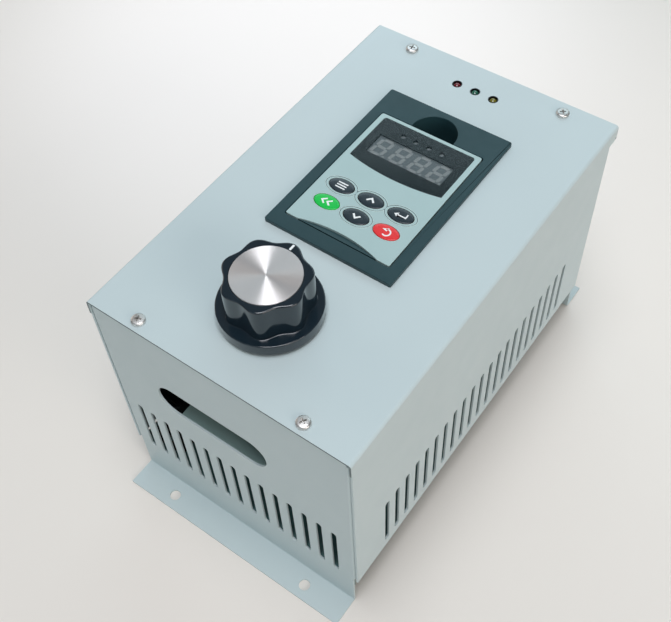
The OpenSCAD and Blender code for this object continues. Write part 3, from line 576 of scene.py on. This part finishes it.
def joined(keys, rx, ry):
    """Outline of overlapping ovals in a row, as one loop."""
    cs = sorted((KEYS[k][0], KEYS[k][1]) for k in keys)
    pts = []
    for side in (1, -1):
        row = []
        for cx, cy in cs:
            for i in range(97):
                t = math.pi - math.pi * i / 96
                x, y = cx + rx * math.cos(t), cy + side * ry * math.sin(t)
                if all(((x - ox) / rx) ** 2 + ((y - oy) / ry) ** 2 >= 0.9999 for ox, oy in cs if (ox, oy) != (cx, cy)):
                    row.append((x, y))
        pts += row if side > 0 else row[::-1][1:-1]
    return pts


# around the keys, the dark line in key colour is painted shade of the groove beside the embossed ring, and the lighter
# raised rims and collars are painted highlight
for name, ks in (("upper", ("menu", "up", "enter")), ("lower", ("down",))):
    plate("pad_shade_line_" + name, [joined(ks, 10.12, 6.45), joined(ks, 9.86, 6.19)], 176.95, 177.03, "key", "keypad", bevel=0.01, res=1)
    plate("pad_rim_highlight_" + name, [joined(ks, 10.5, 6.83), joined(ks, 10.13, 6.46)], 176.9, 177.16, "rim", "keypad", bevel=0.1)
for k in KEYS:
    x, y, _ = KEYS[k]
    plate("key_collar_highlight_" + k, [oval(x, y, 8.62, 5.52), oval(x, y, 8.3, 5.2)], 176.8, 177.2, "rim", "keypad", bevel=0.12)

# window: dark print with clear places for the digits and the small lamps, under a clear sheet
lamps = [(-13.2, 57.4), (-4.4, 57.4), (4.4, 57.4), (13.2, 57.4)]
plate("window_mask", [window(0), rrect(-25.1, 25.1, 36.2, 51.7, 0.3, 2)] + [oval(x, y, 1.65, 1.65, 32) for x, y in lamps],
      176.0, 176.7, "print", "keypad", "display_window", bevel=0.05, res=1)
plate("window_sheet", [window(0)], 176.72, 176.95, "clear", "keypad", bevel=0.06, res=1)

# digit block with its pale segments
plate("digit_block", [rrect(-25.15, 25.15, 34.5, 53.5, 0.4, 3)], 167.7, 175.66, "digit", "keypad", "digit_display", bevel=0.15)


def seg_shapes(cx, cy):
    """Seven slanted bars and a point of a 14.2 mm digit."""
    w, hx, hy, s = 2.1, 3.5, 6.2, math.tan(math.radians(9))
    def hbar(y):
        return [(-hx + 0.5, y), (-hx + 1.15, y + w / 2), (hx - 1.15, y + w / 2), (hx - 0.5, y), (hx - 1.15, y - w / 2), (-hx + 1.15, y - w / 2)]
    def vbar(x, ya, yb):
        return [(x, ya + 0.35), (x + w / 2, ya + 1.0), (x + w / 2, yb - 1.0), (x, yb - 0.35), (x - w / 2, yb - 1.0), (x - w / 2, ya + 1.0)]
    shapes = [hbar(hy), hbar(0), hbar(-hy), vbar(-hx, 0, hy), vbar(hx, 0, hy), vbar(-hx, -hy, 0), vbar(hx, -hy, 0), oval(5.6, -hy, 0.75, 0.75, 16)]
    return [[(cx + x + s * y, cy + y) for x, y in sh] for sh in shapes]


for i in range(4):
    plate("digit_%d" % (i + 1), seg_shapes(-19.05 + 12.7 * i, 44.0), 175.6, 175.74, "seg", "keypad", bevel=0.03, res=1)
for i, (x, y) in enumerate(lamps):
    lvl = [[(x + r * math.cos(t * math.pi / 16), y + r * math.sin(t * math.pi / 16), z) for t in range(32)]
           for r, z in ((1.9, 167.7), (1.9, 168.7), (1.5, 168.9), (1.5, 175.2), (1.42, 175.42), (1.2, 175.54), (0.7, 175.59), (0.2, 175.6))]
    rings("lamp_%d" % (i + 1), lvl, "lamp", "keypad", "keypad_leds", smooth=40)

# ------------------------------------------------------------------ keys
def key_cap(k):
    x, y, mat = KEYS[k]
    def ov(off, z, rx=8.0, ry=4.9):
        return [(px, py, z) for px, py in oval(x, y, rx - off, ry - off, 96)]
    def rd(r, z):
        return [(px, py, z) for px, py in oval(x, y, r, r, 96)]
    lv = [rd(2.0, 170.6), rd(2.0, 173.65), ov(0, 173.7, 9, 5.9), ov(0, 174.9, 9, 5.9), ov(0, 174.92), ov(0, 176.9)]
    for j in range(1, 6):
        a = math.radians(18 * j)
        lv.append(ov(0.55 * (1 - math.cos(a)), 176.9 + 0.5 * math.sin(a)))
    lv += [ov(1.6, 177.44), ov(3.0, 177.47)]
    rings("key_cap_" + k, lv, mat, "key_" + k, "key_" + k, smooth=40)


def stroke(pts, w):
    """Outline of a bent stroke of width w through the points."""
    l, r = [], []
    for i, p in enumerate(pts):
        p = Vector(p)
        a = (p - Vector(pts[i - 1])).normalized() if i else (Vector(pts[1]) - p).normalized()
        b = (Vector(pts[i + 1]) - p).normalized() if i < len(pts) - 1 else a
        t = (a + b).normalized()
        nrm = Vector((-t.y, t.x))
        q = w / 2 / max(0.35, nrm.dot(Vector((-a.y, a.x))))
        l.append(tuple(p + nrm * q))
        r.append(tuple(p - nrm * q))
    return l + r[::-1]


def symbol(k, loops):
    x, y, _ = KEYS[k]
    plate("symbol_" + k, [[(x + px, y + py) for px, py in lp] for lp in loops], 177.42, 177.5, "white", "key_" + k, bevel=0.02, res=1)


for k in KEYS:
    key_cap(k)
symbol("menu", [rrect(-3.2, 3.2, py - 0.42, py + 0.42, 0.2, 2) for py in (-1.8, 0.0, 1.8)])
symbol("up", [stroke([(-2.3, -1.1), (0, 1.3), (2.3, -1.1)], 1.1)])
symbol("down", [stroke([(-2.3, 1.1), (0, -1.3), (2.3, 1.1)], 1.1)])
symbol("shift", [stroke([(-0.2 + d, 2.0), (-2.6 + d, 0), (-0.2 + d, -2.0)], 1.0) for d in (-0.5, 3.0)])
symbol("enter", [stroke([(3.4, 2.1), (3.4, -0.6), (-2.0, -0.6)], 0.85), [(-3.9, -0.6), (-1.6, 1.1), (-1.6, -2.3)]])
bow = arc(0.4, -0.4, 2.3, 125, -125, 22)
symbol("reset", [stroke(bow, 0.85), [(-3.1, 1.0), (0.3, 2.9), (0.0, 0.2)]])

# ------------------------------------------------------------------ status lights
for i, (node, mat) in enumerate((("status_led_red", "red"), ("status_led_green", "green"), ("status_led_yellow", "yellow"))):
    cx, cy = (i - 1) * 12.6, 115.8
    lvl = []
    for r, z in [(2.9, 167.6), (2.9, 168.6), (2.5, 168.65), (2.5, 171.8)] + [(2.5 * math.cos(math.radians(a)), 171.8 + 2.5 * math.sin(math.radians(a))) for a in range(9, 88, 9)]:
        lvl.append([(cx + r * math.cos(t * math.pi / 24), cy + r * math.sin(t * math.pi / 24), z) for t in range(48)])
    rings("lens_" + mat, lvl, mat, "chassis", node, smooth=50)
skin("led_holders", 0.15, "chassis", "holder")

# ------------------------------------------------------------------ screws with cross recess
def cross_head(name, spots, rh, hh, rt, length, axis, mat, body, node, turn):
    """Pan heads with a real cross recess; spots are (x, y, z) of the seat, axis is where the head points."""
    out = bmesh.new()
    seg = 48
    head = bpy.data.meshes.new("h")
    bm = bmesh.new()
    prof = [(rt, -length), (rt, 0.0), (rh * 0.985, 0.0), (rh, 0.12 * hh), (rh, 0.42 * hh)]
    for a in range(12, 91, 13):
        prof.append((rh * (0.62 + 0.38 * math.cos(math.radians(a))), hh * (0.42 + 0.5 * math.sin(math.radians(a)))))
    prof += [(rh * 0.45, hh * 0.965), (rh * 0.2, hh * 0.99)]
    lp = [[bm.verts.new((r * math.cos(2 * math.pi * i / seg), r * math.sin(2 * math.pi * i / seg), z)) for i in range(seg)] for r, z in prof]
    for a, b in zip(lp, lp[1:]):
        for i in range(seg):
            bm.faces.new((a[i], a[(i + 1) % seg], b[(i + 1) % seg], b[i]))
    bm.faces.new(lp[0][::-1])
    bm.faces.new(lp[-1])
    bmesh.ops.recalc_face_normals(bm, faces=bm.faces)
    bm.to_mesh(head)
    bm.free()
    cut = bmesh.new()
    for q in (0, 90):
        w, ln = 0.52 * rh / 4 * 1.9, rh * 0.56
        top, bot = hh + 0.5, hh * 0.25
        vs = [cut.verts.new(v) for v in ((-ln, -w / 2, top), (ln, -w / 2, top), (ln, w / 2, top), (-ln, w / 2, top),
                                         (-ln * 0.45, -w / 3, bot), (ln * 0.45, -w / 3, bot), (ln * 0.45, w / 3, bot), (-ln * 0.45, w / 3, bot))]
        for f in ((3, 2, 1, 0), (4, 5, 6, 7), (0, 1, 5, 4), (1, 2, 6, 5), (2, 3, 7, 6), (3, 0, 4, 7)):
            cut.faces.new([vs[i] for i in f])
        if q:
            bmesh.ops.rotate(cut, verts=vs, cent=(0, 0, 0), matrix=Matrix.Rotation(math.radians(90), 3, "Z"))
    bmesh.ops.recalc_face_normals(cut, faces=cut.faces)
    cme = bpy.data.meshes.new("c")
    cut.to_mesh(cme)
    cut.free()
    ho, co = bpy.data.objects.new("h", head), bpy.data.objects.new("c", cme)
    scene.collection.objects.link(ho)
    scene.collection.objects.link(co)
    md = ho.modifiers.new("b", "BOOLEAN")
    md.operation, md.object, md.solver, md.use_self = "DIFFERENCE", co, "EXACT", True
    res = bpy.data.meshes.new_from_object(ho.evaluated_get(bpy.context.evaluated_depsgraph_get()))
    bpy.data.objects.remove(ho)
    bpy.data.objects.remove(co)
    for i, (x, y, z) in enumerate(spots):
        rot = Vector((0, 0, 1)).rotation_difference(Vector(axis)).to_matrix().to_4x4()
        mt = Matrix.Translation((x, y, z)) @ rot @ Matrix.Rotation(math.radians(turn[i % len(turn)]), 4, "Z")
        c = res.copy()
        c.transform(mt)
        out.from_mesh(c)
    bmesh.ops.scale(out, vec=(MM, MM, MM), verts=out.verts)
    me = bpy.data.meshes.new(name)
    out.to_mesh(me)
    out.free()
    return dress(name, me, mat, body, node, 32)


cross_head("cover_screw_heads", [(sx * 53, sy * 127.3, 174) for sx in (-1, 1) for sy in (-1, 1)], 4.0, 2.4, 1.98, 7, (0, 0, 1), "screw", "chassis", "cover_screws", (24, 8, 61, 37))
cross_head("floor_screw_heads", [(sx * 60, y, 31.5) for sx in (-1, 1) for y in (-40, 88)], 4.0, 2.4, 1.98, 13, (0, 0, -1), "zinc", "chassis", "heat_sink_screws", (12, 70, 33, 51))
q = 71.5 / 2
cross_head("fan_screw_heads", [(sx * q, 134.9, 76 + sz * q) for sx in (-1, 1) for sz in (-1, 1)], 4.2, 2.4, 2.1, 13, (0, 1, 0), "zinc", "chassis", "fan_screws", (5, 40, 77, 22))

# ------------------------------------------------------------------ fan
skin("fan_housing", 0.4, "chassis", "black")
Y0 = 131.7 - 25
bm = bmesh.new()
hub = [(1.5, 2.5), (1.5, 19.9), (16.0, 19.9), (16.0, 4.5), (17.5, 4.5), (17.5, 20.8), (17.2, 21.5), (16.5, 21.9), (9.0, 21.9), (8.6, 21.7), (0.3, 21.7)]
lp = [[bm.verts.new((r * math.cos(2 * math.pi * i / 72) * MM, (Y0 + y) * MM, (76 + r * math.sin(2 * math.pi * i / 72)) * MM)) for i in range(72)] for r, y in hub]
for a, b in zip(lp, lp[1:]):
    for i in range(72):
        bm.faces.new((a[i], a[(i + 1) % 72], b[(i + 1) % 72], b[i]))
bm.faces.new(lp[0])
bm.faces.new(lp[-1])
for k in range(7):
    base = 2 * math.pi * k / 7
    grid = []
    for iu in range(9):
        u = iu / 8
        r = 17.2 + (36.6 - 17.2) * u
        row = []
        for iv in range(9):
            v = iv / 8
            chord = math.radians(40 - 4 * u)
            th = base + chord * (v - 0.5) + math.radians(10) * u * u
            yy = Y0 + 20.2 - 13.5 * v - 2.2 * math.sin(math.pi * v) * (1 - 0.3 * u)
            row.append((r * math.cos(th), yy, 76 + r * math.sin(th)))
        grid.append(row)
    sides = []
    for dy in (0.0, -1.1):
        sides.append([[bm.verts.new((x * MM, (y + dy) * MM, z * MM)) for x, y, z in row] for row in grid])
    t, b_ = sides
    for i in range(8):
        for j in range(8):
            bm.faces.new((t[i][j], t[i + 1][j], t[i + 1][j + 1], t[i][j + 1]))
            bm.faces.new((b_[i][j], b_[i][j + 1], b_[i + 1][j + 1], b_[i + 1][j]))
    for i in range(8):
        bm.faces.new((t[i][0], b_[i][0], b_[i + 1][0], t[i + 1][0]))
        bm.faces.new((t[i][8], t[i + 1][8], b_[i + 1][8], b_[i][8]))
        bm.faces.new((t[0][i], t[0][i + 1], b_[0][i + 1], b_[0][i]))
        bm.faces.new((t[8][i], b_[8][i], b_[8][i + 1], t[8][i + 1]))
add("fan_impeller", bm, "black", "fan", "fan_rotor", 35)

# ------------------------------------------------------------------ stage
fm = Mat("floor_paper", srgb(232, 227, 220), 0.85, spec=0.2)
fm.colour_noise(2.0, 0.006)
fm.bump(fm.noise(900, 2.0), 0.03, 0.0001)
M["floor"] = fm.m
bm = bmesh.new()
prof = [(-6.0, 0.0)] + [(3.2 + 1.6 * math.sin(math.radians(a)), 1.6 - 1.6 * math.cos(math.radians(a))) for a in range(0, 91, 9)] + [(4.8, 5.0)]
cols = [[bm.verts.new((x, y, z - 0.0002)) for x in (-7.0, 7.0)] for y, z in prof]
for a, b in zip(cols, cols[1:]):
    bm.faces.new((a[0], a[1], b[1], b[0]))
add("floor", bm, "floor", "stage")

# ------------------------------------------------------------------ light
scene.view_settings.view_transform = "Standard"
scene.view_settings.look = "None"
world = bpy.data.worlds.new("studio")
scene.world = world
world.use_nodes = True
world.node_tree.nodes["Background"].inputs["Color"].default_value = (0.90, 0.96, 1.0, 1)
world.node_tree.nodes["Background"].inputs["Strength"].default_value = 0.165


def area(name, pos, target, size, power, colour=(1, 1, 1), across=None):
    """Rectangular softbox; 'across' is the direction of its first side."""
    d = bpy.data.lights.new(name, "AREA")
    d.shape, d.size, d.size_y, d.energy, d.color = "RECTANGLE", size[0], size[1], power, colour
    ob = bpy.data.objects.new(name, d)
    back = (Vector(pos) - Vector(target)).normalized()
    ax = Vector(across) if across else Vector((0, 0, 1)).cross(back)
    ax = (ax - back * ax.dot(back)).normalized()
    mt = Matrix((ax, back.cross(ax), back)).transposed().to_4x4()
    mt.translation = Vector(pos)
    ob.matrix_world = mt
    scene.collection.objects.link(ob)
    return ob


area("key_softbox", (0.15, -0.27, 1.66), (0, 0, 0.15), (0.62, 1.0), 15.7, (0.944, 0.953, 1.0), across=(0.779, 0.627, 0))
area("side_fill", (1.7, -0.5, 0.85), (0, 0, 0.1), (1.2, 0.9), 12.8, (1.0, 0.93, 0.88))
area("back_glow", (-0.35, 1.05, 0.9), (-0.12, 0.42, 0), (1.5, 0.6), 5.0, (0.72, 0.92, 1.0))
area("left_low", (-1.6, 0.15, 0.75), (-0.25, 0.05, 0), (1.0, 0.5), 3.2, (1.0, 0.86, 0.76))
area("front_fill", (-0.3, -1.9, 0.7), (0, 0, 0.08), (1.4, 0.8), 3.5, (0.70, 0.90, 1.0))
sd = bpy.data.lights.new("floor_glow", "SPOT")
sd.energy, sd.spot_size, sd.spot_blend, sd.shadow_soft_size = 24.0, math.radians(36), 1.0, 0.1
sd.color = (0.822, 0.855, 1.0)
so = bpy.data.objects.new("floor_glow", sd)
so.location = (-0.5, 0.56, 1.1)
so.rotation_euler = (Vector((-0.29, 0.29, 0)) - so.location).to_track_quat("-Z", "Y").to_euler()
scene.collection.objects.link(so)
sd2 = bpy.data.lights.new("floor_glow_right", "SPOT")
sd2.energy, sd2.spot_size, sd2.spot_blend, sd2.shadow_soft_size = 12.0, math.radians(40), 1.0, 0.1
sd2.color = (0.92, 0.95, 1.0)
so2 = bpy.data.objects.new("floor_glow_right", sd2)
so2.location = (0.75, 0.75, 1.0)
so2.rotation_euler = (Vector((0.36, 0.38, 0)) - so2.location).to_track_quat("-Z", "Y").to_euler()
scene.collection.objects.link(so2)
